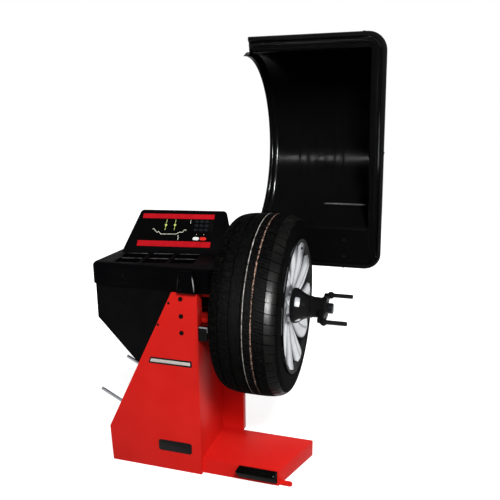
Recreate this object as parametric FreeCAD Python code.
import FreeCAD, Part
import math
import os

# Wheel balancer with a car wheel clamped on its shaft.  Millimetres.
# X runs along the shaft, out of the stand towards the wheel.  Y points to the rear.
# Z is up.  The origin lies on the floor, below the shaft, in the stand's wheel side.

V = FreeCAD.Vector
X_DIR = V(1, 0, 0)
Y_DIR = V(0, 1, 0)
Z_DIR = V(0, 0, 1)

# Driving dimensions of the stand
SHAFT_Z = 650.0
STAND_WIDTH = 367.0
STAND_BEND = (373.0, 143.0)     # widest point: distance left of the wheel side, height
STAND_TOP_WIDTH = 95.0
STAND_TOP = 699.0
STAND_FRONT = -118.0
STAND_REAR = 126.0
SHEET = 3.0
WING_X = 88.0
OPENING_SILL = (528.0, 444.0)   # height of the side panel's edge at the front and rear
BOLT_X = -61.0
BOLT_ZS = (677.0, 614.0, 552.0)
SCREWS = ((-107.0, 658.0), (-151.0, 574.0))
PEGS = ((-18.0, 184.0, 122.0), (87.0, 289.0, 112.0))     # place along Y, height, length

# Base box under the wheel
BASE_HEIGHT = 60.0
BASE_FRONT = -103.0
BASE_FRONT_X = 288.0
BASE_REAR_X = 373.0
PAN = 4.0
ANCHOR_R = 6.5
ANCHORS = ((-330.0, 0.0), (-40.0, 85.0))
LUG = (325.0, -86.0)
LUG_R = 10.0
LUG_THICK = 8.0
LUG_HOLE_R = 5.0

# Spindle
BEARING_X = (-76.0, 60.0)
BEARING_W = 16.0
BEARING_R = 31.0
JOURNAL_R = 20.0
HOUSING_R = 38.0
RUNNING_GAP = 0.05
FLANGE_X = 262.0
THREAD_R = 19.0
SHAFT_LEFT = -182.0
SHAFT_RIGHT = 453.0
DRUM_X = -112.0
DRUM_W = 24.0
DRUM_R = 55.0
PULLEY_X = -150.0
PULLEY_W = 22.0
SPINDLE_PULLEY_R = 50.0
MOTOR_PULLEY_R = 20.0
MOTOR_Y = 40.0
MOTOR_Z = 490.0
MOTOR_R = 55.0
ENCODER_X = -172.0

# Wheel 225/45 R17
TYRE_R = 317.0
TYRE_X = (103.0, 328.0)
RIM_X = (110.0, 333.0)
RIM_FLANGE_R = 233.5
BEAD_SEAT_R = 216.0
HUB_BORE_R = 33.0
HUB_FRONT_X = 313.0
SPOKES = 10

# Quick nut
CUP_X = (313.3, 376.0)
NUT_X = (376.3, 432.0)
NUT_R = 36.0
HANDLE_RADIUS = 81.0
HANDLE_TILT = 16.0
HANDLE_END = 510.0
HANDLE_R = 7.5

# Cabinet, tray and display
CAB_RIGHT = 54.0
CAB_FRONT = -113.0
CAB_REAR = 265.0
CAB_TOP = 716.0
CAB_SHEET = 2.0
UNDERCUT = ((-394.0, 579.0), (-240.5, 416.0))     # upper and lower end of the slanted underside
FRONT_SCREWS = ((-279.0, 664.0), (-372.0, 641.0))
COVER_SCREWS = ((-384, 700), (-384, 590), (-230, 428), (45, 428), (2, 700))
INLET_X = (-320.0, -292.0)
INLET_Z = (600.0, 660.0)
SWITCH_Z = 643.0
ROCKER_TILT = 8.0
TRAY_X = (-403.0, 60.0)
TRAY_Y = (-127.0, 279.0)
TRAY_Z = (711.0, 790.0)
TRAY_WALL = 3.0
TRAY_CORNER = 24.0
POCKET = (86.0, 62.0)
POCKET_PITCH = (100.0, 76.0)
POCKET_DEPTH = 34.0
POCKET_CORNER = 8.0
POCKET_FLOOR_R = 5.0
POCKET_MOUTH_R = 2.5
POCKET_CENTRE = (-190.0, -12.0)
POCKET_YAW = 10.0
FACE_CENTRE = V(-187, 136, 866)
FACE_YAW = 7.3
FACE_SLOPE = 48.3
HOUSING_REAR_Y = 272.0
HOUSING_TOP_R = 15.0
HOUSING_FRONT_R = 7.0
PANEL_U = (-143.5, 150.5)
PANEL_V = 74.5
KEY_V = -36.0
START_U = 88.0
STOP_U = 116.5
KEY_SIZE = (25.0, 14.0)

# Hood, drawn upright behind its rim plane, then leaned forward
HOOD_FOOT = V(0, 352, 705)
HOOD_LEAN = 11.78
HOOD_X = (104.0, 582.0)
HOOD_LENGTH = 877.5
HOOD_TUBE_R = 9.0
HOOD_CORNER = 66.0
HOOD_R = 335.0
HOOD_WALL = 4.0
HOOD_AXIS = (-73.2, 496.4)      # arc's centre: behind the rim plane, up along it
HOOD_END_X = 528.0
HOOD_EDGE_SCREWS = (505.0, 466.0, 437.0)     # along the top, up the side, along the bottom
HINGE_Y = 413.0
HINGE_Z = 803.0
HINGE_R = 17.0
HINGE_X = (-46.0, 480.0)
ARM_XS = (150.0, 440.0)
BRACKET_XS = (-36.0, 36.0)

# Brake
PIVOT_Y = -70.0
PIVOT_Z = 32.0
PEDAL_SHAFT_R = 8.0
CRANK_R = 20.0
ROD_X = -110.0
LEVER_PIVOT = (25.0, 572.0)
PAD_GAP = 2.4
PAD_X = (143.0, 285.0)


# ---------------------------------------------------------------- shape helpers

def box(x0, x1, y0, y1, z0, z1):
    return Part.makeBox(x1 - x0, y1 - y0, z1 - z0, V(x0, y0, z0))


def rod_x(x0, x1, r, y=0.0, z=SHAFT_Z):
    return Part.makeCylinder(r, x1 - x0, V(x0, y, z), X_DIR)


def rod_y(y0, y1, r, x, z):
    return Part.makeCylinder(r, y1 - y0, V(x, y0, z), Y_DIR)


def rod_z(z0, z1, r, x, y):
    return Part.makeCylinder(r, z1 - z0, V(x, y, z0), Z_DIR)


def tube_x(x0, x1, r_out, r_in, y=0.0, z=SHAFT_Z):
    return rod_x(x0, x1, r_out, y, z).cut(rod_x(x0 - 1, x1 + 1, r_in, y, z))


def prism(points, direction):
    return Part.Face(Part.makePolygon(points + [points[0]])).extrude(direction)


def plate_xz(points, y0, y1):
    return prism([V(x, y0, z) for x, z in points], V(0, y1 - y0, 0))


def plate_yz(points, x0, x1):
    return prism([V(x0, y, z) for y, z in points], V(x1 - x0, 0, 0))


def plate_xy(points, z0, z1):
    return prism([V(x, y, z0) for x, y in points], V(0, 0, z1 - z0))


def turned(profile, y=0.0, z=SHAFT_Z):
    points = [V(x, y, z + r) for x, r in profile]
    return Part.Face(Part.makePolygon(points + [points[0]])).revolve(V(0, y, z), X_DIR, 360)


def round_edges(shape, radius, chosen):
    return shape.makeFillet(radius, [edge for edge in shape.Edges if chosen(edge)])


def along(edge, direction):
    if not isinstance(edge.Curve, Part.Line):
        return False
    return edge.Curve.Direction.cross(direction).Length < 1e-6


def upright(edge):
    return along(edge, Z_DIR)


def fused(shapes):
    return shapes[0].multiFuse(shapes[1:]).removeSplitter()


def coil(radius, wire, pitch, turns):
    helix = Part.makeHelix(pitch, pitch * turns, radius)
    section = Part.Wire(Part.makeCircle(wire, V(radius, 0, 0), Y_DIR))
    return Part.Wire(helix).makePipeShell([section], True, True)


def slant_x(z):
    return -STAND_TOP_WIDTH - (STAND_TOP - z) * (STAND_BEND[0] - STAND_TOP_WIDTH) / (
        STAND_TOP - STAND_BEND[1])


# ---------------------------------------------------------------- stand


def stand_front_panel():
    outline = [(0, 0), (-STAND_WIDTH, 0), (-STAND_BEND[0], STAND_BEND[1]),
               (-STAND_TOP_WIDTH, STAND_TOP), (0, STAND_TOP)]
    panel = plate_xz(outline, STAND_FRONT, STAND_FRONT + SHEET)
    panel = round_edges(panel, 5, lambda e: along(e, Y_DIR) and e.BoundBox.ZMin > 600)
    flange = box(-SHEET, 0, STAND_FRONT + SHEET, STAND_FRONT + 45, OPENING_SILL[0] + 1, STAND_TOP - 5)
    panel = fused([panel, flange])
    for z in BOLT_ZS:
        panel = panel.cut(rod_y(STAND_FRONT - 1, STAND_FRONT + 4, 5.5, BOLT_X, z))
    for x, z in SCREWS:
        panel = panel.cut(rod_y(STAND_FRONT - 1, STAND_FRONT + 4, 2.6, x, z))
    return panel


def stand_side_panel():
    y0, y1 = STAND_FRONT + SHEET, STAND_REAR - SHEET
    outline = [(y0, PAN), (y1, PAN), (y1, OPENING_SILL[1]), (y0, OPENING_SILL[0])]
    panel = plate_yz(outline, -SHEET, 0)
    return panel.cut(rod_x(-SHEET - 1, 1, PEDAL_SHAFT_R + 2, PIVOT_Y, PIVOT_Z))


def stand_rear_panel():
    outline = [(-STAND_WIDTH, 0), (0, 0), (0, BASE_HEIGHT), (WING_X, BASE_HEIGHT), (WING_X, 420),
               (0, 600), (0, STAND_TOP), (-STAND_TOP_WIDTH, STAND_TOP),
               (-STAND_BEND[0], STAND_BEND[1])]
    panel = plate_xz(outline, STAND_REAR - SHEET, STAND_REAR)
    lip = box(WING_X - SHEET, WING_X, STAND_REAR, STAND_REAR + 25, BASE_HEIGHT, 420)
    return fused([panel, lip])


def stand_left_cover():
    y0, y1 = STAND_FRONT + SHEET, STAND_REAR - SHEET
    top = UNDERCUT[1][1]
    outline = [(-STAND_WIDTH, PAN), (-STAND_BEND[0], STAND_BEND[1]), (slant_x(top), top),
               (slant_x(top) + SHEET, top), (-STAND_BEND[0] + SHEET, STAND_BEND[1]),
               (-STAND_WIDTH + SHEET, PAN)]
    cover = plate_xz(outline, y0, y1)
    for y, z, _ in PEGS:
        cover = cover.cut(slant_rod(y, z, -6, 6, 5.2))
    return cover


def slant_rod(y, z, start, end, radius):
    """A round bar square to the slanted side, from start to end outwards of the face."""
    out = V(-2, 0, 1).normalize()
    foot = V(slant_x(z), y, z)
    return Part.makeCylinder(radius, end - start, foot + out * start, out)


def cone_pegs():
    pegs = []
    for y, z, length in PEGS:
        peg = fused([slant_rod(y, z, 0, length, 6.5), slant_rod(y, z, -14, 0.5, 5),
                     slant_rod(y, z, 0, 5, 11), slant_rod(y, z, -11, -5, 9)])
        pegs.append(peg)
    return Part.makeCompound(pegs)


def stand_bolts():
    """Three button-head bolts and two small screws in the stand's front."""
    bolts = []
    for z in BOLT_ZS:
        head = rod_y(STAND_FRONT - 4, STAND_FRONT, 7.5, BOLT_X, z)
        head = round_edges(head, 2.5, lambda e: e.BoundBox.YMax < STAND_FRONT - 3)
        bolts.append(fused([head, rod_y(STAND_FRONT, STAND_FRONT + 14, 5, BOLT_X, z)]))
    for x, z in SCREWS:
        head = rod_y(STAND_FRONT - 2.5, STAND_FRONT, 4.5, x, z)
        bolts.append(fused([head, rod_y(STAND_FRONT, STAND_FRONT + 8, 2.2, x, z)]))
    return bolts


def base_outline(inset, left):
    run = BASE_REAR_X - BASE_FRONT_X
    rise = STAND_REAR - 1 - BASE_FRONT
    length = math.hypot(run, rise)
    shift = inset * length / rise
    front_x = BASE_FRONT_X - shift + inset * run / rise
    rear_x = BASE_REAR_X - shift - inset * run / rise
    return [(left, BASE_FRONT + inset), (front_x, BASE_FRONT + inset),
            (rear_x, STAND_REAR - 1 - inset), (left, STAND_REAR - 1 - inset)]


def base_plate():
    body = plate_xy(base_outline(0, 0), 0, BASE_HEIGHT)
    body = round_edges(body, 6, lambda e: along(e, Z_DIR) and e.BoundBox.XMin > BASE_FRONT_X)
    body = body.cut(plate_xy(base_outline(SHEET, -1), PAN, BASE_HEIGHT - SHEET))
    pan = box(-STAND_WIDTH + 4, 0, STAND_FRONT + SHEET, STAND_REAR - SHEET, 0, PAN)
    body = fused([body, pan])
    body = body.cut(box(194, 234, BASE_FRONT - 1, BASE_FRONT + SHEET + 1, 9, 52))
    for x, y in ANCHORS:
        body = body.cut(rod_z(-1, PAN + 1, ANCHOR_R, x, y))
    return body


def floor_lug():
    x, y = LUG
    tongue = box(262, x, y - LUG_R, y + LUG_R, 0, LUG_THICK)
    tip = rod_z(0, LUG_THICK, LUG_R, x, y)
    lug = fused([tongue, tip]).cut(plate_xy(base_outline(0, 0), -1, LUG_THICK + 1))
    return lug.cut(rod_z(-1, LUG_THICK + 1, LUG_HOLE_R, x, y))


# ---------------------------------------------------------------- spindle, fixed parts

def spindle_carrier():
    """Red channel that surrounds the spindle housing and shows in the side opening."""
    y0, y1 = STAND_FRONT + 45, 73.0
    top = box(-70, 36, y0, y1, 689, 693)
    top_lip = box(-70, 36, y0, y0 + 4, 677, 691)
    bottom = box(-70, 34, y0, y1, 581, 585)
    bottom_lip = box(-70, 34, y0, y0 + 4, 581, 597)
    web = box(-70, 34, y1 - 5, y1, 585, 689)
    tie = box(-70, -50, y1, STAND_REAR - SHEET, 620, 680)
    return fused([top, top_lip, bottom, bottom_lip, web, tie])


def spindle_support():
    y0 = STAND_FRONT + SHEET
    plate = box(BOLT_X - 19, BOLT_X + 27, y0, y0 + 12, 535, 689)
    shelf = box(BOLT_X - 19, BOLT_X + 27, y0 + 12, -44, 569, 581)
    rib = plate_yz([(y0 + 12, 569), (-60, 569), (y0 + 12, 538)], BOLT_X - 5, BOLT_X + 5)
    support = fused([plate, shelf, rib])
    for z in BOLT_ZS:
        support = support.cut(rod_y(y0 - 1, y0 + 13, 5.02, BOLT_X, z))
    return support


def spindle_housing():
    x0, x1 = BEARING_X[0], BEARING_X[1] + BEARING_W
    body = tube_x(x0, x1, HOUSING_R, BEARING_R - 4)
    for x in BEARING_X:
        body = body.cut(rod_x(x, x + BEARING_W, BEARING_R))
    lugs = box(-74, -22, -62, -34, 638, 662).cut(rod_x(-60, 40, HOUSING_R - 2))
    return fused([body, lugs])


def spindle_bearings():
    rings = []
    for x in BEARING_X:
        rings.append(tube_x(x, x + BEARING_W, BEARING_R, 27.5))
        rings.append(tube_x(x + 1, x + BEARING_W - 1, 27.5, 23.5))
        rings.append(tube_x(x, x + BEARING_W, 23.5, JOURNAL_R))
    return Part.makeCompound(rings)


def leaf_springs():
    y0 = STAND_FRONT + SHEET + 12
    return Part.makeCompound([box(x, x + 24, y0, -62, 649, 651) for x in (-72, -48)])


def piezo_sensors():
    """Force sensors below and behind the spindle housing."""
    upright = rod_z(585, 620, 9, -40, 0)
    level = rod_y(30, 68, 9, -40, SHAFT_Z)
    housing = rod_x(-100, 50, HOUSING_R)
    return Part.makeCompound([upright.cut(housing), level.cut(housing)])


def sensor_block():
    block = box(0, 32, -113, -63, 528, 574)
    block = round_edges(block, 2, lambda e: along(e, Y_DIR) and e.BoundBox.XMin > 20)
    for z in (540, 562):
        block = block.cut(rod_x(26, 33, 3.2, -88, z))
    return block


def sensor_strap():
    strap = box(0.2, 33, -113, -61, 574, 580)
    return fused([strap, box(32, 34, -113, -61, 560, 580)])


def encoder_sensor():
    body = box(ENCODER_X - 9, ENCODER_X + 10, 24, 62, SHAFT_Z - 8, SHAFT_Z + 8)
    slot = box(ENCODER_X - 1.5, ENCODER_X + 4.5, 20, 45, SHAFT_Z - 9, SHAFT_Z + 9)
    stay = box(ENCODER_X + 10, -70, 64, 70, SHAFT_Z - 8, SHAFT_Z + 8)
    neck = box(ENCODER_X - 9, ENCODER_X + 14, 58, 70, SHAFT_Z - 8, SHAFT_Z + 8)
    return fused([body, neck, stay]).cut(slot)


def drive_motor():
    body = rod_x(-120, -12, MOTOR_R, MOTOR_Y, MOTOR_Z)
    nose = rod_x(-128, -120, 22, MOTOR_Y, MOTOR_Z)
    ribs = [tube_x(x, x + 3, MOTOR_R + 3, MOTOR_R - 1, MOTOR_Y, MOTOR_Z) for x in range(-96, -30, 9)]
    terminal = box(-100, -40, MOTOR_Y - 30, MOTOR_Y + 30, MOTOR_Z - 72, MOTOR_Z - 50)
    bore = rod_x(-130, -60, 8 + RUNNING_GAP, MOTOR_Y, MOTOR_Z)
    return fused([body, nose, terminal] + ribs).cut(bore)


def motor_bracket():
    ring = tube_x(-118, -104, MOTOR_R + 10, MOTOR_R, MOTOR_Y, MOTOR_Z)
    foot = box(-118, -104, 88, STAND_REAR - SHEET, MOTOR_Z - 35, MOTOR_Z + 35)
    plate = box(-150, -80, STAND_REAR - SHEET - 5, STAND_REAR - SHEET, MOTOR_Z - 35, MOTOR_Z + 35)
    return fused([ring, foot.cut(rod_x(-120, -100, MOTOR_R + 5, MOTOR_Y, MOTOR_Z)), plate])


def drive_belt():
    """Flat ring of belt around both pulleys, clear of their rims by a third of a millimetre."""
    gap, thick = 0.35, 3.0
    outer = belt_loop(gap + thick)
    return outer.cut(belt_loop(gap))


def belt_loop(extra):
    r1, r2 = SPINDLE_PULLEY_R + extra, MOTOR_PULLEY_R + extra
    a, b = V(0, 0, SHAFT_Z), V(0, MOTOR_Y, MOTOR_Z)
    axis = b - a
    span = axis.Length
    lean = math.asin((r1 - r2) / span)
    heading = math.atan2(axis.z, axis.y)
    x0, x1 = PULLEY_X + 3, PULLEY_X + PULLEY_W - 3
    corners = []
    for centre, r, side in ((a, r1, 1), (b, r2, 1), (b, r2, -1), (a, r1, -1)):
        angle = heading + side * (math.pi / 2 - lean)
        corners.append((centre.y + r * math.cos(angle), centre.z + r * math.sin(angle)))
    sides = plate_yz(corners, x0, x1)
    return fused([sides, rod_x(x0, x1, r1), rod_x(x0, x1, r2, MOTOR_Y, MOTOR_Z)])


# ---------------------------------------------------------------- spindle, turning parts

def spindle_shaft():
    bearing_r = JOURNAL_R - RUNNING_GAP
    profile = [(SHAFT_LEFT, 0), (SHAFT_LEFT, 11), (ENCODER_X - 4, 12), (ENCODER_X + 8, 12),
               (ENCODER_X + 8, 15), (DRUM_X + DRUM_W + 2, 15), (DRUM_X + DRUM_W + 2, bearing_r),
               (BEARING_X[1] + BEARING_W + 1, bearing_r), (BEARING_X[1] + BEARING_W + 1, 25),
               (FLANGE_X - 26, 25), (FLANGE_X - 26, THREAD_R), (SHAFT_RIGHT - 4, THREAD_R),
               (SHAFT_RIGHT, THREAD_R - 4), (SHAFT_RIGHT, 0)]
    return turned(profile)


def wheel_flange():
    back = FLANGE_X - 26
    profile = [(back - 30, 25), (back - 30, 36), (back - 4, 40), (back + 2, 95), (FLANGE_X, 95),
               (FLANGE_X, 47), (back + 4, 47), (back + 4, 25), (back - 2, 25)]
    flange = turned(profile)
    for k in range(4):
        angle = math.radians(45 + 90 * k)
        y, z = 70 * math.cos(angle), SHAFT_Z + 70 * math.sin(angle)
        flange = flange.cut(rod_x(back - 10, FLANGE_X + 1, 6, y, z))
    return flange


def centring_cone():
    taper = (40.0 - HUB_BORE_R) / 16.0
    tip_x = FLANGE_X + 28
    profile = [(FLANGE_X - 16, THREAD_R + 0.4), (FLANGE_X - 16, 39.9),
               (tip_x, HUB_BORE_R - 0.1 - taper * 28), (tip_x, THREAD_R + 0.4)]
    return turned(profile)


def cone_spring():
    turns = [Part.makeTorus(30, 1.4, V(FLANGE_X - 20.4 + 2.9 * k, 0, SHAFT_Z), X_DIR) for k in (0, 1)]
    return Part.makeCompound(turns)


def brake_drum():
    end = DRUM_X + DRUM_W
    return turned([(DRUM_X, 15), (DRUM_X, 24), (DRUM_X + 8, 24), (DRUM_X + 8, DRUM_R - 6),
                   (DRUM_X, DRUM_R - 6), (DRUM_X, DRUM_R), (end, DRUM_R), (end, DRUM_R - 6),
                   (DRUM_X + 14, DRUM_R - 6), (DRUM_X + 14, 24), (end, 24), (end, 15)])


def grooved_pulley(x0, width, radius, bore, y=0.0, z=SHAFT_Z):
    body = turned([(x0, bore), (x0, radius + 3), (x0 + 2.5, radius + 3), (x0 + 2.5, radius),
                   (x0 + width - 2.5, radius), (x0 + width - 2.5, radius + 3),
                   (x0 + width, radius + 3), (x0 + width, bore)], y, z)
    return body


def spindle_pulley():
    pulley = grooved_pulley(PULLEY_X, PULLEY_W, SPINDLE_PULLEY_R, 15)
    for k in range(5):
        angle = 2 * math.pi * k / 5
        y, z = 32 * math.cos(angle), SHAFT_Z + 32 * math.sin(angle)
        pulley = pulley.cut(rod_x(PULLEY_X - 1, PULLEY_X + PULLEY_W + 1, 8, y, z))
    return pulley


def motor_pulley():
    pulley = grooved_pulley(PULLEY_X, PULLEY_W, MOTOR_PULLEY_R, 0, MOTOR_Y, MOTOR_Z)
    shaft = rod_x(PULLEY_X + PULLEY_W, -62, 8, MOTOR_Y, MOTOR_Z)
    return fused([pulley, shaft])


def encoder_disc():
    disc = tube_x(ENCODER_X, ENCODER_X + 3, 40, 12)
    for k in range(24):
        angle = 2 * math.pi * k / 24
        y, z = 35 * math.cos(angle), SHAFT_Z + 35 * math.sin(angle)
        disc = disc.cut(rod_x(ENCODER_X - 1, ENCODER_X + 4, 1.6, y, z))
    return disc


# ---------------------------------------------------------------- brake

def pedal_pad():
    """Wedge-shaped rubber treadle in front of the base."""
    outline = [(BASE_FRONT - 5, 61), (BASE_FRONT - 53, 69), (BASE_FRONT - 56, 65),
               (BASE_FRONT - 10, 15), (BASE_FRONT - 5, 15)]
    return plate_yz(outline, *PAD_X)


def pedal_lever():
    shaft = rod_x(-100, 252, PEDAL_SHAFT_R, PIVOT_Y, PIVOT_Z)
    arm = box(205, 223, BASE_FRONT - 5, PIVOT_Y, PIVOT_Z - 9, PIVOT_Z + 9)
    boss = rod_x(199, 229, 13, PIVOT_Y, PIVOT_Z)
    crank = fused([box(-104, -100, PIVOT_Y, PIVOT_Y + CRANK_R, PIVOT_Z - 7, PIVOT_Z + 7),
                   rod_x(-104, -100, 12, PIVOT_Y, PIVOT_Z),
                   rod_x(-104, -100, 7, PIVOT_Y + CRANK_R, PIVOT_Z)])
    pin = rod_x(ROD_X - 6, -104, 3.5, PIVOT_Y + CRANK_R, PIVOT_Z)
    return fused([shaft, arm, boss, crank, pin])


def pedal_bushes():
    bushes = []
    for x, z0, z1 in ((-86, PAN, PIVOT_Z + 14), (100, PAN, PIVOT_Z + 14)):
        block = box(x, x + 14, PIVOT_Y - 14, PIVOT_Y + 14, z0, z1)
        bushes.append(block.cut(rod_x(x - 1, x + 15, PEDAL_SHAFT_R + RUNNING_GAP, PIVOT_Y, PIVOT_Z)))
    return Part.makeCompound(bushes)


def pedal_spring():
    """Return spring that stands on the floor pan and lifts the pedal arm."""
    spring = coil(5, 1.2, 4.05, 4)
    spring.translate(V(214, -93, PAN + 1.2))
    return spring


def brake_rod():
    y, low, high = PIVOT_Y + CRANK_R, PIVOT_Z, LEVER_PIVOT[1]
    rod = fused([rod_z(low, high, 4, ROD_X, y), rod_x(ROD_X - 4, ROD_X + 4, 9, y, low),
                 rod_x(ROD_X - 4, ROD_X + 4, 9, y, high)])
    for z in (low, high):
        rod = rod.cut(rod_x(ROD_X - 5, ROD_X + 5, 5, y, z))
    return rod


def brake_lever():
    y, z = LEVER_PIVOT
    rod_y_place = PIVOT_Y + CRANK_R
    bar = box(-104, -96, rod_y_place, y, z - 6, z + 6)
    bosses = [rod_x(-104, -96, 9, y, z), rod_x(-104, -96, 8, rod_y_place, z)]
    seat = box(-108, -92, -13, 13, z + 4, z + 13)
    pin = rod_x(ROD_X - 6, -104, 3.5, rod_y_place, z)
    lever = fused([bar, seat, pin] + bosses)
    return lever.cut(rod_x(-105, -95, 4 + RUNNING_GAP, y, z))


def brake_pad():
    z = LEVER_PIVOT[1] + 13
    pad = box(-108, -92, -13, 13, z, z + 14)
    return pad.cut(rod_x(-110, -90, DRUM_R + PAD_GAP))


def brake_bracket():
    y, z = LEVER_PIVOT
    ears = [box(x, x + 4, y - 8, STAND_REAR - SHEET, z - 9, z + 9) for x in (-110, -94)]
    back = box(-110, -90, STAND_REAR - SHEET - 4, STAND_REAR - SHEET, z - 16, z + 16)
    return fused(ears + [back, rod_x(-108, -92, 4, y, z)])


# ---------------------------------------------------------------- wheel

def wheel_point(x, r):
    return V(x, 0, SHAFT_Z + r)


def section_spline(points):
    curve = Part.BSplineCurve()
    curve.interpolate(points)
    return curve.toShape()


def revolve_x(edges):
    return Part.Face(Part.Wire(edges)).revolve(V(0, 0, SHAFT_Z), X_DIR, 360)


def tyre_arc(half_width, outer_r, inner_r, power, count=15):
    """Section of the tyre from one bead to the other, as a superellipse."""
    mid = (TYRE_X[0] + TYRE_X[1]) / 2
    points = []
    for k in range(count):
        angle = math.pi * k / (count - 1)
        c, s = math.cos(angle), math.sin(angle)
        x = mid - half_width * math.copysign(abs(c) ** (2 / power), c)
        r = inner_r + (outer_r - inner_r) * s ** (2 / power)
        points.append((x, r))
    return points


def tyre():
    half = (TYRE_X[1] - TYRE_X[0]) / 2
    mid = (TYRE_X[0] + TYRE_X[1]) / 2
    widest = 268.0
    crown = [(x, r) for x, r in tyre_arc(half, TYRE_R, widest, 3.2)]
    lining = [(x, r) for x, r in tyre_arc(half - 11, TYRE_R - 13, widest, 3.0)]
    seat = BEAD_SEAT_R
    flange_r = RIM_FLANGE_R + 2.5
    left, right = RIM_X[0] + 10, RIM_X[1] - 10
    toe = 17.0
    outer = section_spline([wheel_point(x, r) for x, r in crown])
    inner = section_spline([wheel_point(x, r) for x, r in lining])
    right_side = [(mid + half, widest), (right + 4, flange_r), (right, seat), (right - toe, seat),
                  (mid + half - 11, widest)]
    left_side = [(mid - half + 11, widest), (left + toe, seat), (left, seat), (left - 4, flange_r),
                 (mid - half, widest)]
    outline = [outer, inner]
    for side in (right_side, left_side):
        places = [wheel_point(x, r) for x, r in side]
        outline += [Part.LineSegment(a, b).toShape() for a, b in zip(places, places[1:])]
    return revolve_x(Part.__sortEdges__(outline))


def rim():
    """Turned barrel of the wheel, from flange to flange."""
    x0, x1 = RIM_X
    return turned([
        (x0, RIM_FLANGE_R), (x0 + 4, RIM_FLANGE_R), (x0 + 7, BEAD_SEAT_R + 4), (x0 + 9, BEAD_SEAT_R),
        (x0 + 34, BEAD_SEAT_R), (x0 + 40, 210), (x0 + 62, 196), (x0 + 120, 196), (x1 - 46, 208),
        (x1 - 38, BEAD_SEAT_R), (x1 - 9, BEAD_SEAT_R), (x1 - 7, BEAD_SEAT_R + 4),
        (x1 - 4, RIM_FLANGE_R), (x1, RIM_FLANGE_R), (x1 - 1, 228), (x1 - 6, 210), (x1 - 42, 202),
        (x0 + 120, 190), (x0 + 60, 190), (x0 + 36, 204), (x0 + 6, 210), (x0 + 2, 225)])


def rim_disc():
    """Hub and ten spokes of the wheel, seated inside the barrel, with five bolt holes."""
    hub = turned([(FLANGE_X, HUB_BORE_R), (FLANGE_X, 78), (FLANGE_X + 14, 80), (HUB_FRONT_X - 6, 62),
                  (HUB_FRONT_X, 56), (HUB_FRONT_X, HUB_BORE_R)])
    wheel = [hub]
    for k in range(SPOKES):
        spoke = plate_yz([(-17, 58), (-9, 205.5), (9, 205.5), (17, 58)], 280, 306)
        spoke.translate(V(0, 0, SHAFT_Z))
        spoke.rotate(V(0, 0, SHAFT_Z), X_DIR, 360.0 * k / SPOKES)
        wheel.append(spoke)
    wheel = fused(wheel).cut(rim())
    for k in range(5):
        angle = math.radians(90 + 72 * k + 36)
        y, z = 56 * math.cos(angle), SHAFT_Z + 56 * math.sin(angle)
        wheel = wheel.cut(rod_x(FLANGE_X - 1, HUB_FRONT_X + 2, 6.5, y, z))
    return wheel


def tyre_valve():
    stem = turned([(0, 0), (0, 4), (6, 5.5), (30, 4.2), (30, 0)], 0, 0)
    stem.translate(V(RIM_X[1] - 30, 0, SHAFT_Z + 200.4))
    stem.rotate(V(0, 0, SHAFT_Z), X_DIR, 18)
    return stem


# ---------------------------------------------------------------- quick nut

def pressure_cup():
    x0, x1 = CUP_X
    bore = THREAD_R + RUNNING_GAP
    cup = turned([(x0, 62), (x0 + 22, 62), (x1 - 16, 40), (x1, 38), (x1, bore), (x1 - 12, bore),
                  (x1 - 14, 34), (x0 + 20, 52), (x0, 52)])
    for k in range(6):
        window = box(x0 + 10, x0 + 20, -11, 11, 50, 70)
        window.translate(V(0, 0, SHAFT_Z))
        window.rotate(V(0, 0, SHAFT_Z), X_DIR, 60.0 * k)
        cup = cup.cut(window)
    return cup


def handle_place(side):
    angle = math.radians(HANDLE_TILT)
    return side * HANDLE_RADIUS * math.cos(angle), SHAFT_Z + side * HANDLE_RADIUS * math.sin(angle)


def nut_body():
    x0, x1 = NUT_X
    parts = [turned([(x0, 36), (x0, 38), (x0 + 6, NUT_R), (x1 - 14, NUT_R), (x1 - 10, 39),
                     (x1, 39), (x1, 12), (x0, 12)])]
    for side in (1, -1):
        y, z = handle_place(side)
        arm = box(x1 - 14, x1 - 1, 0, HANDLE_RADIUS, SHAFT_Z - 11, SHAFT_Z + 11)
        arm.rotate(V(0, 0, SHAFT_Z), X_DIR, HANDLE_TILT + (0 if side > 0 else 180))
        parts += [arm, Part.makeSphere(13, V(x1, y, z))]
    nut = fused(parts).cut(rod_x(x0 - 1, x1 + 1, THREAD_R + RUNNING_GAP))
    for side in (1, -1):
        y, z = handle_place(side)
        nut = nut.cut(rod_x(x1 - 4, x1 + 20, 5, y, z))
    return nut


def nut_handles():
    handles = []
    for side in (1, -1):
        y, z = handle_place(side)
        foot = rod_x(NUT_X[1] - 4, NUT_X[1] + 13, 5, y, z)
        grip = rod_x(NUT_X[1] + 13, HANDLE_END, HANDLE_R, y, z)
        grip = round_edges(grip, 2, lambda e: e.BoundBox.XMin > HANDLE_END - 1)
        handles.append(fused([foot, grip]))
    return Part.makeCompound(handles)


# ---------------------------------------------------------------- cabinet and tray

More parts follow.
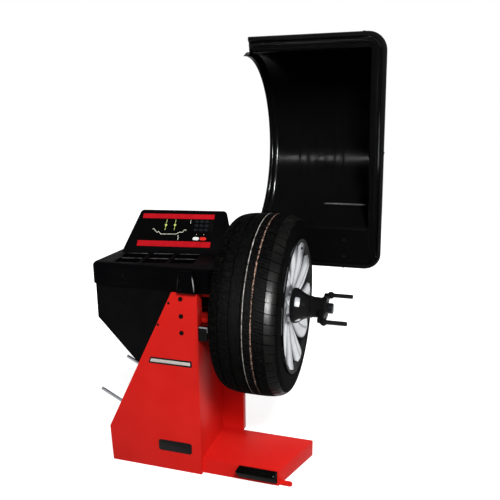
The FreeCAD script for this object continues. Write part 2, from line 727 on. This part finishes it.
def cabinet_shell():
    (left, knee), (slant_end, low) = UNDERCUT
    t = CAB_SHEET
    rear = STAND_REAR
    front = plate_xz([(left, knee), (left, CAB_TOP), (CAB_RIGHT, CAB_TOP), (CAB_RIGHT, STAND_TOP + 1),
                      (-STAND_TOP_WIDTH + 20, STAND_TOP + 1), (slant_end + 21, low),
                      (slant_end, low)], CAB_FRONT, CAB_FRONT + t)
    for x, z in SCREWS:
        front = front.cut(rod_y(CAB_FRONT - 1, CAB_FRONT + t + 1, 2.3, x, z))
    wall = box(left, left + t, CAB_FRONT, CAB_REAR, knee, CAB_TOP)
    undercut = plate_xz([(left, knee), (slant_end, low), (slant_end + 2.8, low), (left + 2.8, knee)],
                        CAB_FRONT, CAB_REAR)
    floor = box(slant_end, CAB_RIGHT, rear, CAB_REAR, low, low + t)
    right = box(CAB_RIGHT - t, CAB_RIGHT, rear, CAB_REAR, low, CAB_TOP)
    right_top = box(CAB_RIGHT - t, CAB_RIGHT, CAB_FRONT, rear, STAND_TOP + 1, CAB_TOP)
    sill = box(0.5, CAB_RIGHT, CAB_FRONT, rear, STAND_TOP + 1, STAND_TOP + 1 + t)
    return fused([front, wall, undercut, floor, right, right_top, sill])


def cabinet_back_cover():
    (left, knee), (slant_end, low) = UNDERCUT
    cover = plate_xz([(left, knee), (left, CAB_TOP - 6), (CAB_RIGHT, CAB_TOP - 6), (CAB_RIGHT, low),
                      (slant_end, low)], CAB_REAR, CAB_REAR + CAB_SHEET)
    for k in range(7):
        z = 500 + 14 * k
        cover = cover.cut(box(-150, -60, CAB_REAR - 1, CAB_REAR + CAB_SHEET + 1, z, z + 5))
    return cover.cut(box(*INLET_X, CAB_REAR - 1, CAB_REAR + CAB_SHEET + 1, *INLET_Z))


def cabinet_screws():
    """Two screw heads in the cabinet's front and five in its rear cover."""
    screws = []
    for x, z in FRONT_SCREWS:
        screws.append(rod_y(CAB_FRONT - 2.2, CAB_FRONT, 3.6, x, z))
    for x, z in COVER_SCREWS:
        screws.append(rod_y(CAB_REAR + CAB_SHEET, CAB_REAR + CAB_SHEET + 2.2, 3.6, x, z))
    return screws


def body_screws():
    """All dark screws of the stand and the cabinet."""
    return Part.makeCompound(stand_bolts() + cabinet_screws())


def mains_inlet():
    y0 = CAB_REAR - 28
    body = box(INLET_X[0] + 0.5, INLET_X[1] - 0.5, y0, CAB_REAR + CAB_SHEET, INLET_Z[0] + 0.5,
               INLET_Z[1] - 0.5)
    bezel = box(INLET_X[0] - 4, INLET_X[1] + 4, CAB_REAR + CAB_SHEET, CAB_REAR + CAB_SHEET + 2.5,
                INLET_Z[0] - 4, INLET_Z[1] + 4)
    socket = box(INLET_X[0] + 3, INLET_X[1] - 3, CAB_REAR - 15, CAB_REAR + 10, 605, 624)
    well = box(INLET_X[0] + 3, INLET_X[1] - 3, CAB_REAR - 8, CAB_REAR + 10, 630, 656)
    pins = [box(x, x + 2, CAB_REAR - 16, CAB_REAR + 1, 611, 617) for x in (-314, -307, -300)]
    return fused([body.fuse(bezel).cut(socket).cut(well)] + pins)


def power_switch():
    y0 = CAB_REAR + CAB_SHEET
    rocker = plate_yz([(y0 - 6, 632), (y0 + 4.5, 632.5), (y0 + 2.2, SWITCH_Z), (y0 + 4.5, 653.5),
                       (y0 - 6, 654)], INLET_X[0] + 4, INLET_X[1] - 4)
    rocker.rotate(V(0, y0, SWITCH_Z), X_DIR, -ROCKER_TILT)
    return rocker


def tray_shell(inset, top):
    x0, x1 = TRAY_X[0] + inset, TRAY_X[1] - inset
    y0, y1 = TRAY_Y[0] + inset, TRAY_Y[1] - inset
    base = plate_xy([(x0, y0), (x1, y0), (x1, y1), (x0, y1)], TRAY_Z[0] - (1 if inset else 0), top)
    base = round_edges(base, TRAY_CORNER - inset, upright)
    return round_edges(base, 16 - inset, lambda e: e.BoundBox.ZMin > top - 1)


def tray_slab(inset, z0, z1):
    return box(TRAY_X[0] + inset, TRAY_X[1] - inset, TRAY_Y[0] + inset, TRAY_Y[1] - inset, z0, z1)


def pocket_blocks(grow, z0, z1):
    blocks = []
    for column in (-1, 0, 1):
        for row in (-1, 1):
            half_u, half_v = POCKET[0] / 2 + grow, POCKET[1] / 2 + grow
            u, v = column * POCKET_PITCH[0], row * POCKET_PITCH[1] / 2
            block = box(u - half_u, u + half_u, v - half_v, v + half_v, z0, z1)
            block = round_edges(block, POCKET_CORNER + grow, upright)
            block = round_edges(block, POCKET_FLOOR_R + grow, lambda e: e.BoundBox.ZMax < z0 + 0.1)
            block.rotate(V(0, 0, 0), Z_DIR, POCKET_YAW)
            block.translate(V(POCKET_CENTRE[0], POCKET_CENTRE[1], 0))
            blocks.append(block)
    return blocks


def weight_tray():
    z_top = TRAY_Z[1]
    tray = tray_shell(0, z_top).cut(tray_shell(TRAY_WALL, z_top - TRAY_WALL))
    low = z_top - POCKET_DEPTH
    tray = tray.multiFuse(pocket_blocks(TRAY_WALL - 0.5, low - TRAY_WALL, z_top - 1))
    for pocket in pocket_blocks(0, low, z_top + 5):
        tray = tray.cut(pocket)
    ledge = round_edges(tray_slab(TRAY_WALL - 0.5, CAB_TOP, CAB_TOP + 3), TRAY_CORNER - 3, upright)
    ledge = ledge.cut(tray_slab(22, CAB_TOP - 1, CAB_TOP + 4))
    neck = plate_xz([(-69, 702), (-60, 782), (-8, 782), (1, 702)], TRAY_Y[0] - 9, TRAY_Y[0] + 1.5)
    neck = round_edges(neck, 6, lambda e: e.BoundBox.YMax < TRAY_Y[0] - 8)
    tray = fused([tray, neck, ledge])
    tray = round_edges(tray, POCKET_MOUTH_R, lambda e: e.BoundBox.ZMin > z_top - 0.1)
    return tray.cut(box(-330, -10, 140, 250, z_top - TRAY_WALL - 1, z_top + 1))


# ---------------------------------------------------------------- display

def face_frame(shape):
    """Moves a shape drawn with u along X, v along Y and outwards along Z onto the sloping face."""
    shape = shape.copy()
    shape.rotate(V(0, 0, 0), X_DIR, FACE_SLOPE)
    shape.rotate(V(0, 0, 0), Z_DIR, FACE_YAW)
    shape.translate(FACE_CENTRE)
    return shape


def on_face_plane(edge):
    """Whether an edge lies in the plane of the display's sloping face."""
    turn = FreeCAD.Rotation(Z_DIR, FACE_YAW).multiply(FreeCAD.Rotation(X_DIR, FACE_SLOPE))
    outwards = turn.multVec(Z_DIR)
    return all(abs((vertex.Point - FACE_CENTRE).dot(outwards)) < 0.1 for vertex in edge.Vertexes)


def housing_block(inset):
    """Lofted from the sloping front outline to a lower, narrower upright back outline."""
    front_low, front_high = -118.0, 92.0 - inset
    corners = [(housing_left(front_low) + inset, front_low), (housing_left(front_high) + inset, front_high),
               (housing_right(front_high) - inset, front_high), (housing_right(front_low) - inset, front_low)]
    front = Part.makePolygon([V(u, v, -inset) for u, v in corners + corners[:1]])
    front = face_frame(front)
    rear_y = HOUSING_REAR_Y - inset
    rear = [(-372 + inset, 760), (-338 + inset, 908 - inset), (-34 - inset, 914 - inset), (36 - inset, 760)]
    back = Part.makePolygon([V(x, rear_y, z) for x, z in rear + rear[:1]])
    block = Part.makeLoft([front, back], True, True)
    if not inset:
        block = round_edges(block, HOUSING_TOP_R,
                            lambda e: e.BoundBox.ZMax > 930 and e.BoundBox.YMax > rear_y - 1)
        block = round_edges(block, HOUSING_FRONT_R, on_face_plane)
    keep = box(-500, 300, -100, 400, TRAY_Z[1] - (1 if inset else 0), 1000)
    return block.common(keep)


def housing_left(v):
    return -194 + (v + 86) * 0.212


def housing_right(v):
    return 241 - (v + 86) * 0.262


def display_housing():
    housing = housing_block(0).cut(housing_block(3))
    u0, u1 = PANEL_U
    recess = face_frame(box(u0 - 0.3, u1 + 0.3, -PANEL_V - 0.3, PANEL_V + 0.3, -2.5, 10))
    window = face_frame(box(u0 + 10, u1 - 10, -PANEL_V + 10, PANEL_V - 10, -8, 10))
    frame_back = face_frame(box(u0 - 8, u1 + 8, -PANEL_V - 5, PANEL_V + 5, -6, -2.5))
    return housing.fuse(frame_back).cut(window).cut(recess).removeSplitter()


def capsule(u, v, length, width, w0, w1):
    r = width / 2
    half = length / 2 - r
    middle = box(u - half, u + half, v - r, v + r, w0, w1)
    ends = [Part.makeCylinder(r, w1 - w0, V(u + s * half, v, w0), Z_DIR) for s in (1, -1)]
    return fused([middle] + ends)


def display_panel():
    u0, u1 = PANEL_U
    panel = box(u0, u1, -PANEL_V, PANEL_V, -2.5, 0)
    panel = round_edges(panel, 4, upright)
    for u in (START_U, STOP_U):
        panel = panel.cut(capsule(u, KEY_V, KEY_SIZE[0] + 1, KEY_SIZE[1] + 1, -5, 5))
    return face_frame(panel)


def key(u):
    cap = capsule(u, KEY_V, *KEY_SIZE, -6, 1.6)
    cap = round_edges(cap, 1, lambda e: e.BoundBox.ZMin > 1.5)
    flange = capsule(u, KEY_V, KEY_SIZE[0] + 2.6, KEY_SIZE[1] + 4, -6, -4)
    stem = Part.makeCylinder(3, 10, V(u, KEY_V, -16), Z_DIR)
    return face_frame(fused([cap, flange, stem]))


def start_key():
    return key(START_U)


def stop_key():
    return key(STOP_U)


def display_board():
    board = box(-142, 150, -62, 62, -22, -20.4)
    lamps = [box(u, u + 5, 2 + 11 * k, 8 + 11 * k, -20.4, -17) for u in (-43, -6) for k in range(4)]
    switches = [box(u - 6, u + 6, KEY_V - 6, KEY_V + 6, -20.4, -17.8) for u in (START_U, STOP_U)]
    posts = [Part.makeCylinder(3, 14.4, V(u, v, -20.4), Z_DIR) for u in (-138, 146) for v in (-58, 58)]
    return face_frame(fused([board] + lamps + switches + posts))


def control_board():
    board = box(-340, -200, 200, 202, 596, 700)
    chips = [box(-330 + 34 * k, -310 + 34 * k, 194, 200, 610, 640) for k in range(4)]
    transformer = box(-300, -230, 130, 190, 640, 700)
    stand = box(-340, -200, 196, CAB_REAR, 590, 596)
    link = box(-290, -240, 189, 201, 660, 690)
    return fused([board, stand, link, transformer] + chips)


# ---------------------------------------------------------------- hood

def hood_frame_place(shape):
    """Leans a hood part, drawn upright over the rim plane, to its raised position."""
    shape = shape.copy()
    shape.rotate(V(0, 0, 0), X_DIR, HOOD_LEAN)
    shape.translate(HOOD_FOOT)
    return shape


def hood_shell():
    axis_y, axis_z = HOOD_AXIS
    x0, x1 = HOOD_X[0], HOOD_END_X
    drum = tube_x(x0, x1, HOOD_R + HOOD_WALL, HOOD_R, axis_y, axis_z)
    end = rod_x(x1, x1 + HOOD_WALL, HOOD_R + HOOD_WALL, axis_y, axis_z)
    behind = box(x0 - 20, x1 + 10, 0, 400, -100, 1000)
    lip_ring = tube_x(x0 - 8, x0, HOOD_R + HOOD_WALL, HOOD_R - 13, axis_y, axis_z)
    lip = lip_ring.common(box(x0 - 20, x0 + 10, -45, 400, axis_z + 50, 1000))
    lip = lip.fuse(lip_ring.common(box(x0 - 20, x0 + 10, 0, 400, -100, axis_z + 50)))
    lip = lip.cut(plate_yz([(0, 828), (-46, 818), (-46, 850), (0, 850)], x0 - 20, x0 + 10))
    inner = HOOD_TUBE_R * 2 - 0.5
    band = box(x0, HOOD_X[1] - inner, 0, HOOD_WALL, inner, HOOD_LENGTH - inner)
    band = round_edges(band, HOOD_CORNER - 10, lambda e: along(e, Y_DIR) and e.BoundBox.XMin > x1)
    half_chord = math.sqrt(HOOD_R ** 2 - axis_y ** 2)
    mouth = box(x0 - 1, x1, -1, HOOD_WALL + 1, axis_z - half_chord, axis_z + half_chord)
    mouth = mouth.common(rod_x(x0 - 2, x1 + 1, HOOD_R, axis_y, axis_z))
    shell = fused([drum.common(behind), end.common(behind), lip, band.cut(mouth)])
    return hood_frame_place(shell)


def hood_frame():
    """Bent steel tube around the top, right side and bottom of the hood's rim."""
    r = HOOD_TUBE_R
    x0, x1 = HOOD_X[0], HOOD_X[1] - r
    low, high = r, HOOD_LENGTH - r
    c = HOOD_CORNER - r
    path = Part.Wire([
        Part.LineSegment(V(x0, 0, low), V(x1 - c, 0, low)).toShape(),
        Part.Arc(V(x1 - c, 0, low), V(x1 - c + c * math.sin(math.pi / 4), 0,
                                      low + c - c * math.cos(math.pi / 4)),
                 V(x1, 0, low + c)).toShape(),
        Part.LineSegment(V(x1, 0, low + c), V(x1, 0, high - c)).toShape(),
        Part.Arc(V(x1, 0, high - c), V(x1 - c + c * math.sin(math.pi / 4), 0,
                                       high - c + c * math.cos(math.pi / 4)),
                 V(x1 - c, 0, high)).toShape(),
        Part.LineSegment(V(x1 - c, 0, high), V(x0, 0, high)).toShape()])
    section = Part.Wire(Part.makeCircle(r - 0.5, V(x0, 0, low), X_DIR))
    tube = path.makePipeShell([section], True, False)
    for screw in edge_screws():
        tube = tube.cut(screw)
    return hood_frame_place(tube)


def edge_screws():
    top_x, side_s, low_x = HOOD_EDGE_SCREWS
    return [rod_z(HOOD_LENGTH - 3, HOOD_LENGTH + 3, 4.5, top_x, 0),
            rod_x(HOOD_X[1] - 3, HOOD_X[1] + 3, 4.5, 0, side_s),
            rod_z(-3, 3, 4.5, low_x, 0)]


def hood_screws():
    """Three screws in the rim's outer edge, one in the front band and four in the hinge arms."""
    screws = edge_screws() + [rod_y(-2, 0, 3.5, HOOD_X[0] + 11, 840)]
    arms = [rod_y(-2.5, 0, 6, x, s) for x in ARM_XS for s in (50, 120)]
    return hood_frame_place(Part.makeCompound(screws + arms))


def hinge_tube():
    tube = tube_x(*HINGE_X, HINGE_R, HINGE_R - 3, HINGE_Y, HINGE_Z)
    caps = [rod_x(x, x + 4, HINGE_R - 2, HINGE_Y, HINGE_Z) for x in (HINGE_X[0], HINGE_X[1] - 4)]
    arms = []
    for x in ARM_XS:
        web = plate_yz([(HOOD_WALL, 24), (HOOD_WALL, 160), (86, 100), (96, 84), (86, 68)], x - 4, x + 4)
        foot = box(x - 22, x + 22, HOOD_WALL, HOOD_WALL + 5, 24, 160)
        arms.append(hood_frame_place(fused([web, foot])))
    arms = [arm.cut(rod_x(0, 600, HINGE_R - 1, HINGE_Y, HINGE_Z)) for arm in arms]
    return fused([tube] + caps + arms)


def hinge_brackets():
    brackets = []
    y0 = CAB_REAR + CAB_SHEET
    for x in BRACKET_XS:
        web = plate_yz([(y0, 500), (y0, 698), (y0 + 16, 714), (HINGE_Y - 22, HINGE_Z + 14),
                        (HINGE_Y + 20, HINGE_Z + 14), (HINGE_Y + 26, HINGE_Z - 30),
                        (y0 + 40, 500)], x, x + 8)
        boss = rod_x(x - 4, x + 12, HINGE_R + 11, HINGE_Y, HINGE_Z)
        foot = box(x - 14, x + 20, y0, y0 + 6, 500, 700)
        bracket = fused([web, boss, foot])
        brackets.append(bracket.cut(rod_x(x - 10, x + 20, HINGE_R + RUNNING_GAP, HINGE_Y, HINGE_Z)))
    brackets.append(box(BRACKET_XS[0] + 8, BRACKET_XS[1], y0 + 6, y0 + 12, 560, 640))
    return fused(brackets)


def hood_spring():
    """Torsion spring around the hinge tube, between the two brackets."""
    spring = coil(22, 2.2, 7.0, 6)
    spring.rotate(V(0, 0, 0), Y_DIR, 90)
    spring.translate(V(-19, HINGE_Y, HINGE_Z))
    return spring


NODES = [
    stand_front_panel, stand_side_panel, stand_rear_panel, stand_left_cover, base_plate, floor_lug,
    body_screws, cone_pegs, spindle_carrier, spindle_support, spindle_housing, spindle_bearings,
    leaf_springs, piezo_sensors, sensor_block, sensor_strap, encoder_sensor, drive_motor,
    motor_bracket, drive_belt, spindle_shaft, wheel_flange, centring_cone, cone_spring, brake_drum,
    spindle_pulley, motor_pulley, encoder_disc, pedal_pad, pedal_lever, pedal_bushes, pedal_spring,
    brake_rod, brake_lever, brake_pad, brake_bracket, tyre, rim, rim_disc, tyre_valve, pressure_cup,
    nut_body, nut_handles, cabinet_shell, cabinet_back_cover, mains_inlet, power_switch,
    weight_tray, display_housing, display_panel, start_key, stop_key, display_board, control_board,
    hood_shell, hood_frame, hood_screws, hinge_tube, hinge_brackets, hood_spring]

os.makedirs("parts", exist_ok=True)
for make in NODES:
    shape = make()
    name = make.__name__
    print(f"{name:20s} solids {len(shape.Solids)} valid {shape.isValid()} {shape.Volume / 1000:.1f} cm3")
    shape.exportStep(f"parts/{name}.step")
